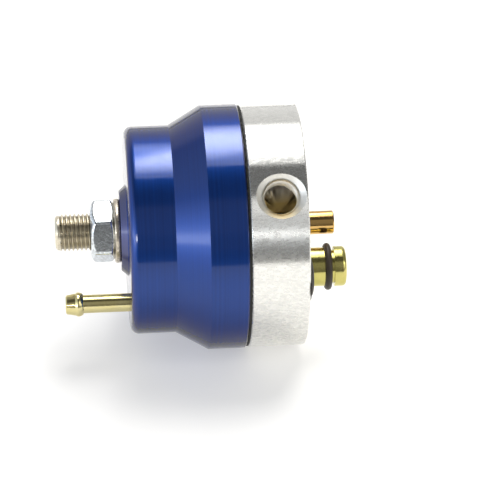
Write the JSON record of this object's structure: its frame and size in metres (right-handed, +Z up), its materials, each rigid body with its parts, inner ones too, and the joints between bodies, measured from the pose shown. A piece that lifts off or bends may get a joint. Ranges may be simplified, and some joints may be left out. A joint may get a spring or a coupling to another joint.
{
  "type": "fuel pressure regulator",
  "caption": "Round diaphragm fuel pressure regulator: blue turned bonnet on a bright aluminium body, with threaded adjuster, vacuum barb, O-ring inlet spigot, return tube and gauge port.",
  "frame": {"origin": "centre of the mounting face on the regulator's axis, where the return tube comes out", "axes": "+X along the regulator's axis towards the fuel rail, -X to the adjuster, +Z up as it lies in the picture"},
  "size_m": [0.0731, 0.062, 0.062],
  "materials": {
    "blue_anodised_aluminium": "blue anodised over fine turning marks, satin",
    "turned_aluminium": "bright turned, fine circular tool marks",
    "diaphragm_rubber": "cut edge of reinforced rubber sheet",
    "black_oxide_steel": "black oxide, satin",
    "yellow_zinc_steel": "zinc plate, yellow passivated, bright",
    "seal_rubber": "moulded rubber, satin",
    "copper_tube": "drawn tube, bright",
    "seat_brass": "turned",
    "threaded_steel": "rolled thread, plain zinc with a warm cast",
    "bright_zinc_steel": "bright zinc plate",
    "washer_steel": "plain zinc plate",
    "inner_steel": "turned and pressed steel, plain zinc",
    "spring_steel": "drawn wire, oiled"
  },
  "bodies": {
    "housing": {"bonnet": "blue_anodised_aluminium", "body": "turned_aluminium", "diaphragm": "diaphragm_rubber", "clamp_screws": "black_oxide_steel", "vacuum_barb": "yellow_zinc_steel", "inlet_spigot": "yellow_zinc_steel", "spigot_o_ring": "seal_rubber", "spigot_base_seal": "seal_rubber", "return_tube": "copper_tube", "valve_seat": "seat_brass", "seat_o_ring": "seal_rubber"},
    "cap": {"spring_cap": "inner_steel", "main_spring": "spring_steel"},
    "adjuster": {"adjuster_screw": "threaded_steel"},
    "washer": {"seal_washer": "washer_steel", "washer_rubber": "seal_rubber"},
    "nut": {"lock_nut": "bright_zinc_steel"},
    "valve": {"upper_plate": "inner_steel", "valve_holder": "inner_steel", "stem_nut": "inner_steel", "valve_ball": "inner_steel", "ball_retainer": "inner_steel", "valve_disc": "inner_steel", "valve_spring": "spring_steel"}
  },
  "joints": [
    {"name": "cap_travel", "type": "slide", "parent": "housing", "child": "cap", "axis": [1, 0, 0], "range_m": [-0.00106, 0.00423], "deforming": ["main_spring"]},
    {"name": "adjuster_turn", "type": "hinge", "parent": "cap", "child": "adjuster", "pos_m": [-0.05, 0, 0], "axis": [1, 0, 0], "range_deg": [-360, 1440]},
    {"name": "washer_travel", "type": "slide", "parent": "housing", "child": "washer", "axis": [1, 0, 0], "range_m": [-0.00317, 0]},
    {"name": "lock_nut_turn", "type": "hinge", "parent": "washer", "child": "nut", "pos_m": [-0.05, 0, 0], "axis": [1, 0, 0], "range_deg": [-1080, 0]},
    {"name": "valve_lift", "type": "slide", "parent": "housing", "child": "valve", "axis": [-1, 0, 0], "range_m": [0, 0.0008], "stiffness_N_per_m": 2000, "springref_m": -0.01, "deforming": ["main_spring", "diaphragm"]}
  ],
  "couplings": [
    {"joint": "adjuster_turn", "follows": "cap_travel", "rad_per_m": 5936.9},
    {"joint": "lock_nut_turn", "follows": "washer_travel", "rad_per_m": 5936.9}
  ]
}
